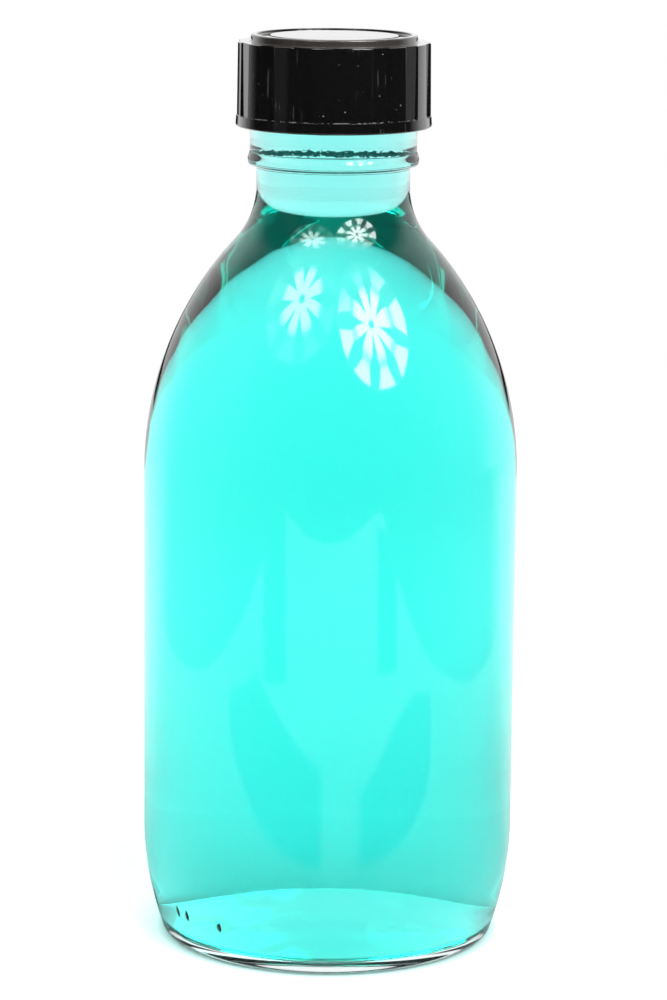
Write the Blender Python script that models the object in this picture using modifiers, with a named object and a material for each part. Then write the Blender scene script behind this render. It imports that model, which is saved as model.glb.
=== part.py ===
"""Round glass syrup bottle with a screw cap, a two-layer cap liner and its liquid fill.

Metres, +Z up. The origin is the centre of the plane that the bottle stands on.
Outlines are lists of (radius, height) points, and every one of them runs from top to bottom.
"""

import math

import bmesh
import bpy
from mathutils import Matrix, Vector

# Clearance between neighbouring pieces
FIT_GAP = 0.0003

# Bottle body
BODY_RADIUS = 0.02855
BODY_WALL = 0.002
BODY_TOP = 0.0724
SHOULDER_RADIUS = 0.0525

# Bottle base
HEEL_HEIGHT = 0.0174
HEEL_RADIUS = 0.049
HEEL_EDGE_RADIUS = 0.0014
BEARING_WIDTH = 0.0018
BEARING_EDGE_RADIUS = 0.0015
PUSH_UP = 0.004
BASE_THICKNESS = 0.0036
FLOOR_RADIUS = 0.045
FLOOR_CORNER_RADIUS = 0.002

# Bottle neck, from the shoulder up to the underside of the bead
BORE_RADIUS = 0.00975
NECK_WALL = 0.00185
NECK_FILLET_RADIUS = 0.012
NECK_LENGTH = 0.0034

# Bottle finish, from the underside of the bead up to the lip
FINISH_WALL = 0.00285
FINISH_HEIGHT = 0.0155
BEAD_PROUD = 0.0003
BEAD_HEIGHT = 0.002
BEAD_EDGE_RADIUS = 0.0007
BEAD_LOWER_EDGE_RADIUS = 0.0004
BEAD_UNDER_RADIUS = 0.0006
LIP_RADIUS = 0.0007

# Screw thread, right-handed, one start
THREAD_PITCH = 0.00423
THREAD_TURNS = 1.75
THREAD_START_ANGLE = math.radians(-112.5)
THREAD_HEIGHT = 0.0008
THREAD_ROOT_WIDTH = 0.002
THREAD_TIP_WIDTH = 0.0010
THREAD_TOP_DROP = 0.0018
THREAD_RUN_OUT = math.radians(37.5)
THREAD_SINK = 0.0002
CAP_THREAD_ROOT_WIDTH = 0.0017
CAP_THREAD_TIP_WIDTH = 0.0008
CAP_THREAD_TURNS = 1.25
CAP_THREAD_START = 0.0015

# Cap liner
FACING_THICKNESS = 0.0002
BOARD_THICKNESS = 0.0009
LINER_SIDE_GAP = 0.0004

# Screw cap
SKIRT_WALL = 0.0005
RIB_HEIGHT = 0.00025
RIB_COUNT = 15
RIB_SHARE = 0.53
RIB_TURN = math.radians(-73.2)
RIB_CHAMFER = 0.0001
SKIRT_DRAFT = 0.00012
SKIRT_DEPTH = 0.0118
BAND_HEIGHT = 0.0017
BAND_PROUD = 0.00008
BAND_FLARE = 0.0001
BAND_EDGE_RADIUS = 0.0003
PANEL_THICKNESS = 0.0015
PANEL_RADIUS = 0.0096
PANEL_DROP = 0.00015
RING_OUTER_RADIUS = 0.0125
RING_WIDTH = 0.0009
RING_RISE = 0.00042
RING_STEP = 0.0011
RING_EDGE = 0.00025
COVE_RADIUS = 0.0002

# Liquid fill
HEADSPACE = 0.006

# Round pieces are this many flats around, and arcs this many degrees a step
TURN_STEPS = 48
CAP_TURN_STEPS = 60
ARC_STEP = 9.0

COLLECTION_NAME = "syrup_bottle"
CUTTER_COLLECTION_NAME = "cutters"


def clear_scene():
    for old_object in list(bpy.data.objects):
        bpy.data.objects.remove(old_object, do_unlink=True)


def new_collection(name):
    collection = bpy.data.collections.new(name)
    bpy.context.scene.collection.children.link(collection)
    return collection


def new_material(name, colour, roughness, transmission=0.0):
    material = bpy.data.materials.new(name)
    material.use_nodes = True
    shader = material.node_tree.nodes["Principled BSDF"]
    shader.inputs["Base Color"].default_value = (*colour, 1.0)
    shader.inputs["Roughness"].default_value = roughness
    shader.inputs["Metallic"].default_value = 0.0
    shader.inputs["Transmission Weight"].default_value = transmission
    material.diffuse_color = (*colour, 1.0)
    return material


def arc(centre, radius, start, end, step=ARC_STEP):
    """Points on a circle from one angle to another, in degrees, both ends included."""
    count = max(2, math.ceil(abs(end - start) / step))
    angles = [math.radians(start + (end - start) * i / count) for i in range(count + 1)]
    return [(centre[0] + radius * math.cos(a), centre[1] + radius * math.sin(a)) for a in angles]


def shoulder(neck_radius, wide_radius, shoulder_radius, fillet_radius):
    """Neck fillet and shoulder as two arcs that meet on one tangent, and where the neck ends."""
    shoulder_centre = (wide_radius - shoulder_radius, BODY_TOP)
    across = neck_radius + fillet_radius - shoulder_centre[0]
    reach = shoulder_radius + fillet_radius
    rise = math.sqrt(reach**2 - across**2)
    fillet_centre = (neck_radius + fillet_radius, BODY_TOP + rise)
    lean = math.degrees(math.asin(rise / reach))
    fillet = arc(fillet_centre, fillet_radius, 180.0, 180.0 + lean, step=11.0)
    dome = arc(shoulder_centre, shoulder_radius, lean, 0.0, step=6.0)
    return fillet + dome[1:], fillet_centre[1]


def bearing_radius():
    """Radius at which the heel's edge comes down onto the flat bearing ring."""
    reach = HEEL_RADIUS - HEEL_EDGE_RADIUS
    lean = math.asin((HEEL_HEIGHT - HEEL_EDGE_RADIUS) / reach)
    return BODY_RADIUS - HEEL_RADIUS + reach * math.cos(lean), math.degrees(lean)


def push_up_radius():
    """Radius of the dome under the base, tangent to the bearing ring's inner edge."""
    edge_centre = bearing_radius()[0] - BEARING_WIDTH
    drop = BEARING_EDGE_RADIUS - PUSH_UP
    return (edge_centre**2 + drop**2 - BEARING_EDGE_RADIUS**2) / (2 * PUSH_UP)


def neck_top():
    """Height at which the neck meets the underside of the bead."""
    neck_radius = BORE_RADIUS + NECK_WALL
    return shoulder(neck_radius, BODY_RADIUS, SHOULDER_RADIUS, NECK_FILLET_RADIUS)[1] + NECK_LENGTH


def lip_height():
    return neck_top() + FINISH_HEIGHT


def finish_outline():
    """Outside of the finish: rounded lip, straight wall and a low bead with a soft top edge."""
    wall = BORE_RADIUS + FINISH_WALL
    bead = wall + BEAD_PROUD
    top = lip_height()
    bead_bottom = neck_top()
    bead_top = bead_bottom + BEAD_HEIGHT
    edge = BEAD_EDGE_RADIUS
    points = arc((wall - LIP_RADIUS, top - LIP_RADIUS), LIP_RADIUS, 90.0, 0.0, step=30.0)
    points.append((wall, bead_top))
    points += arc((bead - edge, bead_top - edge), edge, 50.0, 0.0, step=25.0)
    lower = BEAD_LOWER_EDGE_RADIUS
    points += arc((bead - lower, bead_bottom + lower), lower, 0.0, -90.0, step=30.0)
    under = BEAD_UNDER_RADIUS
    under_centre = (BORE_RADIUS + NECK_WALL + under, bead_bottom - under)
    points += arc(under_centre, under, 90.0, 180.0, step=30.0)
    return points


def base_outline():
    """Outside of the base: heel, bearing edge, flat ring and the dome pushed up inside it."""
    ring_outside, lean = bearing_radius()
    ring_inside = ring_outside - BEARING_WIDTH
    dome_radius = push_up_radius()
    dome_centre = (0.0, PUSH_UP - dome_radius)
    slope = math.degrees(math.atan2(BEARING_EDGE_RADIUS - dome_centre[1], ring_inside))
    points = arc((BODY_RADIUS - HEEL_RADIUS, HEEL_HEIGHT), HEEL_RADIUS, 0.0, -lean, step=4.5)
    points += arc((ring_outside, HEEL_EDGE_RADIUS), HEEL_EDGE_RADIUS, -lean, -90.0, step=24.0)[1:]
    points += arc((ring_inside, BEARING_EDGE_RADIUS), BEARING_EDGE_RADIUS, -90.0, slope - 180.0, step=30.0)
    points += arc(dome_centre, dome_radius, slope, 90.0, step=5.0)[1:]
    points[-1] = (0.0, PUSH_UP)
    return points


def circles_meet(centre_a, radius_a, centre_b, radius_b):
    """The crossing of two circles that lies further from the axis."""
    a = Vector(centre_a)
    b = Vector(centre_b)
    across = b - a
    along = (radius_a**2 - radius_b**2 + across.length_squared) / (2 * across.length)
    aside = math.sqrt(radius_a**2 - along**2)
    direction = across.normalized()
    middle = a + direction * along
    ends = [middle + side * aside * Vector((-direction.y, direction.x)) for side in (-1, 1)]
    return max(ends, key=lambda end: end.x)


def inside_outline(gap):
    """Inside of the bottle from the neck's lower end to the floor's centre, drawn in by a gap."""
    wall = BODY_WALL + gap
    corner_radius = FLOOR_CORNER_RADIUS - gap
    floor_apex = PUSH_UP + BASE_THICKNESS + gap
    floor_radius = FLOOR_RADIUS + gap
    floor_centre = (0.0, floor_apex - floor_radius)
    heel_centre = (BODY_RADIUS - HEEL_RADIUS, HEEL_HEIGHT)
    points = shoulder(
        BORE_RADIUS - gap,
        BODY_RADIUS - wall,
        SHOULDER_RADIUS - wall,
        NECK_FILLET_RADIUS + NECK_WALL + gap,
    )[0]
    heel_reach = HEEL_RADIUS - wall - corner_radius
    floor_reach = floor_radius + corner_radius
    corner = circles_meet(heel_centre, heel_reach, floor_centre, floor_reach)
    lean = math.degrees(math.atan2(corner.y - heel_centre[1], corner.x - heel_centre[0]))
    slope = math.degrees(math.atan2(corner.y - floor_centre[1], corner.x))
    points += arc(heel_centre, HEEL_RADIUS - wall, 0.0, lean, step=5.0)
    points += arc(corner, corner_radius, lean, slope - 180.0, step=25.0)[1:]
    points += arc(floor_centre, floor_radius, slope, 90.0, step=5.0)[1:]
    points[-1] = (0.0, floor_apex)
    return points


def turned(name, outline, steps, collection):
    """Revolve an outline about +Z with a Screw modifier."""
    mesh = bpy.data.meshes.new(name)
    vertices = [(radius, 0.0, height) for radius, height in outline]
    edges = [(i, i + 1) for i in range(len(outline) - 1)]
    mesh.from_pydata(vertices, edges, [])
    piece = bpy.data.objects.new(name, mesh)
    collection.objects.link(piece)
    screw = piece.modifiers.new("turn", "SCREW")
    screw.angle = 2 * math.pi
    screw.steps = steps
    screw.render_steps = steps
    screw.use_merge_vertices = True
    screw.merge_threshold = 0.00001
    screw.use_smooth_shade = True
    return piece


def mesh_object(name, work, collection):
    """Turn a bmesh into an object and free it."""
    bmesh.ops.recalc_face_normals(work, faces=work.faces)
    mesh = bpy.data.meshes.new(name)
    work.to_mesh(mesh)
    work.free()
    piece = bpy.data.objects.new(name, mesh)
    collection.objects.link(piece)
    return piece


def mark_as_cutter(piece):
    piece.hide_render = True
    piece.display_type = "WIRE"


def combine(piece, tool, operation):
    boolean = piece.modifiers.new(operation.lower() + "_" + tool.name, "BOOLEAN")
    boolean.operation = operation
    boolean.solver = "EXACT"
    boolean.object = tool


def thread_ridge(name, root, side, widths, turns, low_end, start_angle, steps, collection):
    """Loft a thread's section up a right-handed helix.

    The section stands out from the root radius on the given side, +1 outwards and -1 inwards,
    and sinks back into the wall over the run-out at each end.
    """
    root_width, tip_width = widths
    count = round(turns * steps)
    last_angle = turns * 2 * math.pi
    work = bmesh.new()
    sections = []
    for i in range(count + 1):
        turned_by = last_angle * i / count
        from_end = min(turned_by, last_angle - turned_by)
        rise = min(1.0, from_end / THREAD_RUN_OUT)
        tip = rise * (THREAD_HEIGHT + THREAD_SINK / 2) - THREAD_SINK / 2
        middle = low_end + THREAD_PITCH * turned_by / (2 * math.pi)
        direction = Vector((math.cos(start_angle + turned_by), math.sin(start_angle + turned_by), 0.0))
        corners = (
            (-THREAD_SINK, -root_width / 2),
            (tip, -tip_width / 2),
            (tip, tip_width / 2),
            (-THREAD_SINK, root_width / 2),
        )
        section = [
            work.verts.new(direction * (root + side * out) + Vector((0.0, 0.0, middle + up)))
            for out, up in corners
        ]
        sections.append(section)
    for lower, upper in zip(sections, sections[1:]):
        for a in range(4):
            b = (a + 1) % 4
            work.faces.new((lower[a], lower[b], upper[b], upper[a]))
    work.faces.new(sections[0])
    work.faces.new(reversed(sections[-1]))
    ridge = mesh_object(name, work, collection)
    mark_as_cutter(ridge)
    return ridge


def bottle_thread_low():
    """Height of the bottle thread's middle at its lower end."""
    return lip_height() - THREAD_TOP_DROP - THREAD_PITCH * THREAD_TURNS


def make_bottle(parts, cutters):
    neck_radius = BORE_RADIUS + NECK_WALL
    outside = finish_outline()
    outside += shoulder(neck_radius, BODY_RADIUS, SHOULDER_RADIUS, NECK_FILLET_RADIUS)[0]
    outside += base_outline()
    lip_centre = (BORE_RADIUS + LIP_RADIUS, lip_height() - LIP_RADIUS)
    inside = arc(lip_centre, LIP_RADIUS, 90.0, 180.0, step=30.0)
    inside += inside_outline(0.0)
    bottle = turned("glass_bottle", inside[::-1] + outside, TURN_STEPS, parts)
    ridge = thread_ridge(
        "bottle_thread_tool",
        BORE_RADIUS + FINISH_WALL,
        1,
        (THREAD_ROOT_WIDTH, THREAD_TIP_WIDTH),
        THREAD_TURNS,
        bottle_thread_low(),
        THREAD_START_ANGLE,
        TURN_STEPS,
        cutters,
    )
    combine(bottle, ridge, "UNION")
    bottle.data.materials.append(new_material("clear_glass", (0.93, 0.98, 0.97), 0.04, 1.0))
    return bottle


def liner_radius():
    return cap_bore() - LINER_SIDE_GAP


def make_disc(name, radius, bottom, thickness, collection):
    work = bmesh.new()
    bmesh.ops.create_cone(
        work,
        cap_ends=True,
        segments=TURN_STEPS,
        radius1=radius,
        radius2=radius,
        depth=thickness,
        matrix=Matrix.Translation((0.0, 0.0, thickness / 2)),
    )
    disc = mesh_object(name, work, collection)
    disc.location.z = bottom
    return disc


def make_liner(parts):
    facing_bottom = lip_height() + FIT_GAP
    facing = make_disc("liner_facing", liner_radius(), facing_bottom, FACING_THICKNESS, parts)
    facing.data.materials.append(new_material("liner_film", (0.85, 0.86, 0.84), 0.3))
    board_bottom = facing_bottom + FACING_THICKNESS + FIT_GAP
    board = make_disc("liner_board", liner_radius(), board_bottom, BOARD_THICKNESS, parts)
    board.data.materials.append(new_material("liner_board", (0.72, 0.68, 0.6), 0.9))
    return board_bottom + BOARD_THICKNESS


def cap_bore():
    """Radius of the plain wall inside the cap's skirt."""
    return BORE_RADIUS + FINISH_WALL + THREAD_HEIGHT + FIT_GAP


def rib_radius():
    return cap_bore() + SKIRT_WALL + RIB_HEIGHT


def cap_outline(underside):
    """Outline of the cap from the panel's centre over the outside and up the inside."""
    groove_floor = underside + PANEL_THICKNESS
    ring_top = groove_floor + RING_RISE
    panel_top = ring_top - PANEL_DROP
    skirt_top = ring_top - RING_STEP
    bottom = underside - SKIRT_DEPTH
    ring_outside = RING_OUTER_RADIUS
    ring_inside = ring_outside - RING_WIDTH
    top_radius = rib_radius()
    low_radius = top_radius + SKIRT_DRAFT
    band_top = bottom + BAND_HEIGHT
    band_radius = low_radius + BAND_PROUD
    edge = BAND_EDGE_RADIUS
    edge_centre = (band_radius + BAND_FLARE - edge, bottom + edge)
    soften = RING_RISE / 4
    panel_foot = PANEL_RADIUS + COVE_RADIUS
    cove_centre = (ring_inside - COVE_RADIUS, groove_floor + COVE_RADIUS)
    points = [(0.0, panel_top), (PANEL_RADIUS - soften, panel_top), (PANEL_RADIUS, panel_top - soften)]
    points += arc((panel_foot, groove_floor + COVE_RADIUS), COVE_RADIUS, 180.0, 270.0, step=45.0)
    points += arc(cove_centre, COVE_RADIUS, -90.0, 0.0, step=45.0)
    points += [(ring_inside, ring_top - soften), (ring_inside + soften, ring_top)]
    points += arc((ring_outside - RING_EDGE, ring_top - RING_EDGE), RING_EDGE, 90.0, 0.0, step=30.0)
    points += [(ring_outside, skirt_top), (top_radius - RIB_CHAMFER, skirt_top)]
    points += [(top_radius, skirt_top - RIB_CHAMFER), (low_radius, band_top), (band_radius, band_top)]
    points += arc(edge_centre, edge, 0.0, -90.0, step=45.0)
    points += [(cap_bore() + FIT_GAP, bottom), (cap_bore(), bottom + FIT_GAP)]
    points += [(cap_bore(), underside), (0.0, underside)]
    return points


def make_flats_cutter(underside, cutters):
    """Boxes that cut the flats between the ribs, from the band's top edge up past the skirt."""
    bottom = underside - SKIRT_DEPTH + BAND_HEIGHT
    height = SKIRT_DEPTH + PANEL_THICKNESS
    flat_distance = cap_bore() + SKIRT_WALL
    depth = 4 * RIB_HEIGHT
    pitch_angle = 2 * math.pi / RIB_COUNT
    width = 2 * rib_radius() * math.sin(pitch_angle * (1 - RIB_SHARE) / 2)
    work = bmesh.new()
    for i in range(RIB_COUNT):
        turn = Matrix.Rotation(RIB_TURN + (i + 0.5) * pitch_angle, 4, "Z")
        place = Matrix.Translation((flat_distance + depth / 2, 0.0, bottom + height / 2))
        size = Matrix.Diagonal((depth, width, height, 1.0))
        bmesh.ops.create_cube(work, size=1.0, matrix=turn @ place @ size)
    cutter = mesh_object("skirt_flats_cutter", work, cutters)
    mark_as_cutter(cutter)
    return cutter


def thread_seat():
    """Distance from the bottle thread's middle down to the cap thread's middle when closed."""
    bottle_half = (THREAD_ROOT_WIDTH + THREAD_TIP_WIDTH) / 4
    cap_half = (CAP_THREAD_ROOT_WIDTH + CAP_THREAD_TIP_WIDTH) / 4
    return bottle_half + cap_half + FIT_GAP * 1.5


def make_cap(underside, parts, cutters):
    cap = turned("screw_cap", cap_outline(underside), CAP_TURN_STEPS, parts)
    combine(cap, make_flats_cutter(underside, cutters), "DIFFERENCE")
    low_end = underside - SKIRT_DEPTH + CAP_THREAD_START
    below = bottle_thread_low() - thread_seat() - low_end
    ridge = thread_ridge(
        "cap_thread_tool",
        cap_bore(),
        -1,
        (CAP_THREAD_ROOT_WIDTH, CAP_THREAD_TIP_WIDTH),
        CAP_THREAD_TURNS,
        low_end,
        THREAD_START_ANGLE - 2 * math.pi * below / THREAD_PITCH,
        CAP_TURN_STEPS,
        cutters,
    )
    combine(cap, ridge, "UNION")
    cap.data.materials.append(new_material("black_plastic", (0.012, 0.012, 0.013), 0.18))
    return cap


def make_syrup(parts):
    level = lip_height() - HEADSPACE
    outline = [(0.0, level), (BORE_RADIUS - FIT_GAP, level)]
    outline += inside_outline(FIT_GAP)
    syrup = turned("syrup", outline, TURN_STEPS, parts)
    syrup.data.materials.append(new_material("turquoise_syrup", (0.08, 0.85, 0.78), 0.05, 1.0))
    return syrup


def main():
    clear_scene()
    parts = new_collection(COLLECTION_NAME)
    cutters = new_collection(CUTTER_COLLECTION_NAME)
    make_bottle(parts, cutters)
    make_syrup(parts)
    liner_top = make_liner(parts)
    make_cap(liner_top + FIT_GAP, parts, cutters)


main()
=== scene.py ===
"""Looks of the round glass syrup bottle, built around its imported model.

Metres, +Z up, in the model's own frame. Outlines are lists of (radius, height) points.
"""

import math

import bpy
import numpy as np
from mathutils import Matrix, Vector


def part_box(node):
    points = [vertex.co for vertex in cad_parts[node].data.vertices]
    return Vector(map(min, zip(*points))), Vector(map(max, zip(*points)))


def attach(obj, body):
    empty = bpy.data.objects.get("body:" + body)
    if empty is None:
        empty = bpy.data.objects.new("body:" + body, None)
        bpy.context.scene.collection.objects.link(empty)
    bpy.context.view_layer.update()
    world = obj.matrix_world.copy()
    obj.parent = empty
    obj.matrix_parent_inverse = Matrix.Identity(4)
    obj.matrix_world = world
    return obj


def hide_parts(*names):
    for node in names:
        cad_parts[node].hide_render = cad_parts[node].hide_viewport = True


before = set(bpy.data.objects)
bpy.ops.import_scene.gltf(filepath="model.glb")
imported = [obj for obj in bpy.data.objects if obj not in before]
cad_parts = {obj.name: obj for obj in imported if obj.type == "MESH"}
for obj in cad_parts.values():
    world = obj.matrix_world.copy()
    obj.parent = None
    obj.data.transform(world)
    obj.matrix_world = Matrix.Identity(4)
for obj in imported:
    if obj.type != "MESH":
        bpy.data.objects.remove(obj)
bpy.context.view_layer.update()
bottle_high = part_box("glass_bottle")[1]
cap_low, cap_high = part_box("screw_cap")
board_low, board_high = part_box("liner_board")
facing_low, facing_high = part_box("liner_facing")

# Bottle, with the sizes that the frame's boxes don't give
BODY_RADIUS = bottle_high.x
LIP_HEIGHT = bottle_high.z
BODY_WALL = 0.002
BODY_TOP = 0.0724
SHOULDER_RADIUS = 0.0525
HEEL_HEIGHT = 0.0174
HEEL_RADIUS = 0.049
HEEL_EDGE_RADIUS = 0.0014
BEARING_WIDTH = 0.0018
BEARING_EDGE_RADIUS = 0.0015
PUSH_UP = 0.004
BASE_THICKNESS = 0.0036
FLOOR_RADIUS = 0.045
FLOOR_CORNER_RADIUS = 0.002
BORE_RADIUS = 0.00975
NECK_WALL = 0.00185
NECK_FILLET_RADIUS = 0.012
FINISH_WALL = 0.00285
FINISH_HEIGHT = 0.0155
BEAD_PROUD = 0.0003
BEAD_HEIGHT = 0.002
BEAD_SWELL = 0.0012
BEAD_SWELL_STEPS = 32
BEAD_LOWER_EDGE_RADIUS = 0.0004
BEAD_UNDER_RADIUS = 0.0006
LIP_RADIUS = 0.0007

# Marks on the outside: a dark ragged streak round the back of the bead, at a height over the bead's
# underside, its dark colour painted shade, a seam down both sides, and dots and a dash on the heel
# as (angle in degrees, height)
STREAK_OVER_BEAD = 0.0008
STREAK_WIDTH = 0.0009
STREAK_CORE = 0.000684
STREAK_DRIFT = 0.0014
STREAK_DRIFT_LENGTH = 0.0004
STREAK_DEPTH = 0.0001
STREAK_GRAIN = 0.00022
STREAK_GAPS = (0.2, 0.3)
STREAK_SIDE = (-0.001, 0.002)
SEAM_ANGLE = math.radians(-55.0)
SEAM_WIDTH = 0.0002
SEAM_RISE = 0.00003
SEAM_HEIGHTS = ((0.03, 0.055), (0.078, 0.088))
HEEL_DOTS = ((-146.0, 0.0065), (-141.0, 0.0065), (-126.5, 0.0062))
HEEL_DOT_SIZE = (0.00055, 0.0011)
HEEL_DASH = (-167.0, 0.0058)
HEEL_DASH_SIZE = (0.0012, 0.0018)
HEEL_DOT_RISE = 0.0006
HEEL_DOT_SLOPE = (1.0, 0.2)
HEEL_DOT_DARK = (0.8, 0.5)

# Screw thread, right-handed, one start
THREAD_PITCH = 0.00423
THREAD_TURNS = 1.75
THREAD_START_ANGLE = math.radians(-112.5)
THREAD_HEIGHT = 0.0008
THREAD_ROOT_WIDTH = 0.002
THREAD_TIP_WIDTH = 0.001
THREAD_TOP_DROP = 0.0018
THREAD_RUN_OUT = math.radians(37.5)
CAP_THREAD_ROOT_WIDTH = 0.0017
CAP_THREAD_TIP_WIDTH = 0.0008
CAP_THREAD_TURNS = 1.25
CAP_THREAD_START = 0.0015
FIT_GAP = 0.0003

# Screw cap
SKIRT_WALL = 0.0005
RIB_HEIGHT = 0.00025
RIB_COUNT = 15
RIB_SHARE = 0.53
RIB_TURN = math.radians(-73.2)
RIB_CHAMFER = 0.0001
RIB_EDGE = math.radians(0.7)
SKIRT_DRAFT = 0.00012
BAND_HEIGHT = 0.0017
BAND_PROUD = 0.00008
BAND_FLARE = 0.0001
BAND_EDGE_RADIUS = 0.0003
PANEL_THICKNESS = 0.0015
PANEL_RADIUS = 0.0096
PANEL_DROP = 0.00015
RING_OUTER_RADIUS = 0.0125
RING_WIDTH = 0.0009
RING_RISE = 0.00042
RING_STEP = 0.0011
RING_EDGE = 0.0003
COVE_RADIUS = 0.0002
CORNER_ROUND = 0.00008
LEDGE_ROW = 0.000004

# Liquid
HEADSPACE = 0.006
GLASS_OVERLAP = 0.00005
MENISCUS_RISE = 0.0011
MENISCUS_REACH = 0.0016
SURFACE_DEPTH = 0.0001

# Refractive indices: glass and liquid in air, and glass against the liquid that wets it
GLASS_INDEX = 1.5
SYRUP_INDEX = 1.34
WETTED_INDEX = GLASS_INDEX / SYRUP_INDEX

# Glass and liquid: slow waves in the surface, higher on the shoulder, and faint rough smears
GLASS_COLOUR = (0.985, 0.998, 0.995, 1.0)
# Dark colour of the streak, painted shade, and of the heel's dots
STREAK_SHADE_AND_DOT_COLOUR = (0.0003, 0.006, 0.005, 1.0)
GLASS_WAVE_LENGTH = 0.011
GLASS_WAVE_HEIGHT = 0.00002
SHOULDER_WAVE_HEIGHT = 0.00016
SHOULDER_WAVE_REACH = ((BODY_TOP, BODY_TOP + 0.015), (0.105, 0.112))
OUTSIDE_RADIUS = (BORE_RADIUS + 0.001, BORE_RADIUS + 0.0015)
SMEAR_SIZE = 0.004
SMEAR_STRETCH = (1.0, 1.0, 0.4)
SMEAR_SHARE = (0.6, 0.75)
SMEAR_ROUGHNESS = 0.03
SYRUP_COLOUR = (0.0, 0.978, 0.943, 1.0)
SYRUP_DENSITY = 60.0
SURFACE_RIPPLE = 0.00002
SURFACE_RIPPLE_LENGTH = 0.004

# Black plastic
PLASTIC_COLOUR = (0.004, 0.0038, 0.0038, 1.0)
PLASTIC_ROUGHNESS = (0.04, 0.1)
PLASTIC_GRAIN = 0.0003
PLASTIC_WAVE_LENGTH = 0.005
PLASTIC_WAVE_HEIGHT = 0.000006
COAT_ROUGHNESS = 0.04
RING_COLOUR = (0.04, 0.034, 0.03, 1.0)
RING_ROUGHNESS = 0.42
RING_MATT_REACH = (-0.0003, -0.0001, 0.0002, 0.0004)
SCRATCH_COLOUR = (0.6, 0.6, 0.6, 1.0)
SCRATCH_STRENGTH = 0.05
SCRATCH_ROUGHNESS = 0.25
SCRATCH_WIDTH = 0.0004
SCRATCH_STRETCH = (1.0, 1.0, 0.05)
SCRATCH_SHARE = (0.62, 0.7)
SCRATCH_PATCH = 0.004
SCRATCH_PATCH_SHARE = (0.5, 0.62)
SCRATCH_DEPTH = 0.000002
# Dust specks, and a light line on the band's ledge that is a painted highlight in the same colour
DUST_AND_HIGHLIGHT_COLOUR = (0.55, 0.53, 0.5, 1.0)
DUST_AND_HIGHLIGHT_STRENGTH = 0.6
DUST_AND_HIGHLIGHT_ROUGHNESS = 0.8
DUST_AND_HIGHLIGHT_HEIGHT = 0.00001
DUST_SPECKS = ((0.0016, 0.00009, 0.3), (0.0007, 0.00005, 0.15))
PAINTED_LEDGE_HIGHLIGHT_SIZE = 0.0009
PAINTED_LEDGE_HIGHLIGHT_SHARE = (0.47, 0.6)
PAINTED_LEDGE_HIGHLIGHT_STRENGTH = 0.6
PAINTED_LEDGE_HIGHLIGHT_REACH = (-0.00003, 0.0, 0.00006, 0.00012)

# Liner
FIBRE_WIDTH = 0.0003
FIBRE_STRETCH = 0.2
FIBRE_SHARE = (0.45, 0.75)
FIBRE_HEIGHT = 0.00004
PULP_CLOUD = 0.003
PULP_CLOUD_STRENGTH = 0.3
PULP_COLOURS = ((0.58, 0.53, 0.44, 1.0), (0.78, 0.74, 0.66, 1.0), (0.5, 0.46, 0.4, 1.0))
PULP_ROUGHNESS = (0.95, 0.8)
FILM_COLOUR = (0.85, 0.86, 0.84, 1.0)
FILM_PRESSED_COLOUR = (0.7, 0.72, 0.7, 1.0)
FILM_PRESSED_HALF = (0.0011, 0.0006)
FILM_PRESSED_DEPTH = 0.00003
FILM_ROUGHNESS = (0.22, 0.42)
FILM_RIPPLE = 0.0012
FILM_RIPPLE_HEIGHT = 0.000008
BOARD_EDGE = 0.0002
FILM_EDGE = 0.00008

# Mesh fineness: counts, steps in degrees or metres, and shares of a flat, a rib's edge and a rib
BOTTLE_COLUMNS = 288
LINER_COLUMNS = 180
FLOOR_SIDES = 256
FLAT_COLUMNS = (0.0, 0.3, 0.6)
RIB_EDGE_COLUMNS = (-1.1, -0.8, -0.5, -0.25, 0.0, 0.25, 0.5, 0.8, 1.1)
RIB_COLUMNS = (0.35, 0.6, 0.85)
THREAD_ROW = 0.00014
WALL_ROW = 0.002
NECK_ROW = 0.0005
LIP_ROW = 0.0008
EDGE_ROW = 0.0001
PANEL_ROW = 0.001
GROOVE_ROW = 0.0005
LINER_ROW = 0.0006
ARC_STEP = 2.0
CORNER_STEPS = 4
SURFACE_STEPS = 40
SHARP_ANGLE = math.radians(38.0)

# Studio floor. Reaches are distances from the bottle's axis, and the footprint is what it stands on.
# The paper is painted a deeper grey in the footprint, painted shade, and turquoise in and just round
# it, a painted glow.
# The lifts are the paper's own light, which the camera and the glass see. It is dimmed in the
# footprint, painted shade;
# through the glass it is lower near the bottle than far off, and raised again close to the base,
# painted light.
STAGE_RADIUS = 0.6
STAGE_FADE = (0.4, 0.55)
FLOOR_DROP = 0.00005
FOOTPRINT = (0.0245, 0.0275)
PAPER_COLOUR = 0.8
# Painted shade under the bottle: deeper grey paper and less of its own light in the footprint
FOOTPRINT_PAINTED_SHADE_COLOUR = 0.5
FOOTPRINT_PAINTED_SHADE_LIFT = 0.37
# Painted glow: turquoise tint on the paper, and on its own light, round the base
PAINTED_GLOW_REACH = (0.026, 0.032)
PAINTED_GLOW_COLOUR = (0.76, 0.98, 0.96, 1.0)
# Painted reflection: grey of the paper in gloss outside the sheet and on its dark shapes
PAINTED_REFLECTION_DARK = 0.04
PAPER_LIFT = (0.16, 0.44)
PAPER_LIFT_REACH = (0.05, 0.25)
# Painted light: more of the paper's own light close to the base, seen through the glass
PAPER_PAINTED_LIGHT_CLOSE = 0.24
PAPER_PAINTED_LIGHT_CLOSE_REACH = (0.035, 0.06)
# Painted reflection: brightness of the sheet in gloss
PAINTED_REFLECTION_SHEET_SHARE = 0.85
PAPER_LIFT_SEEN = 0.66

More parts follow.
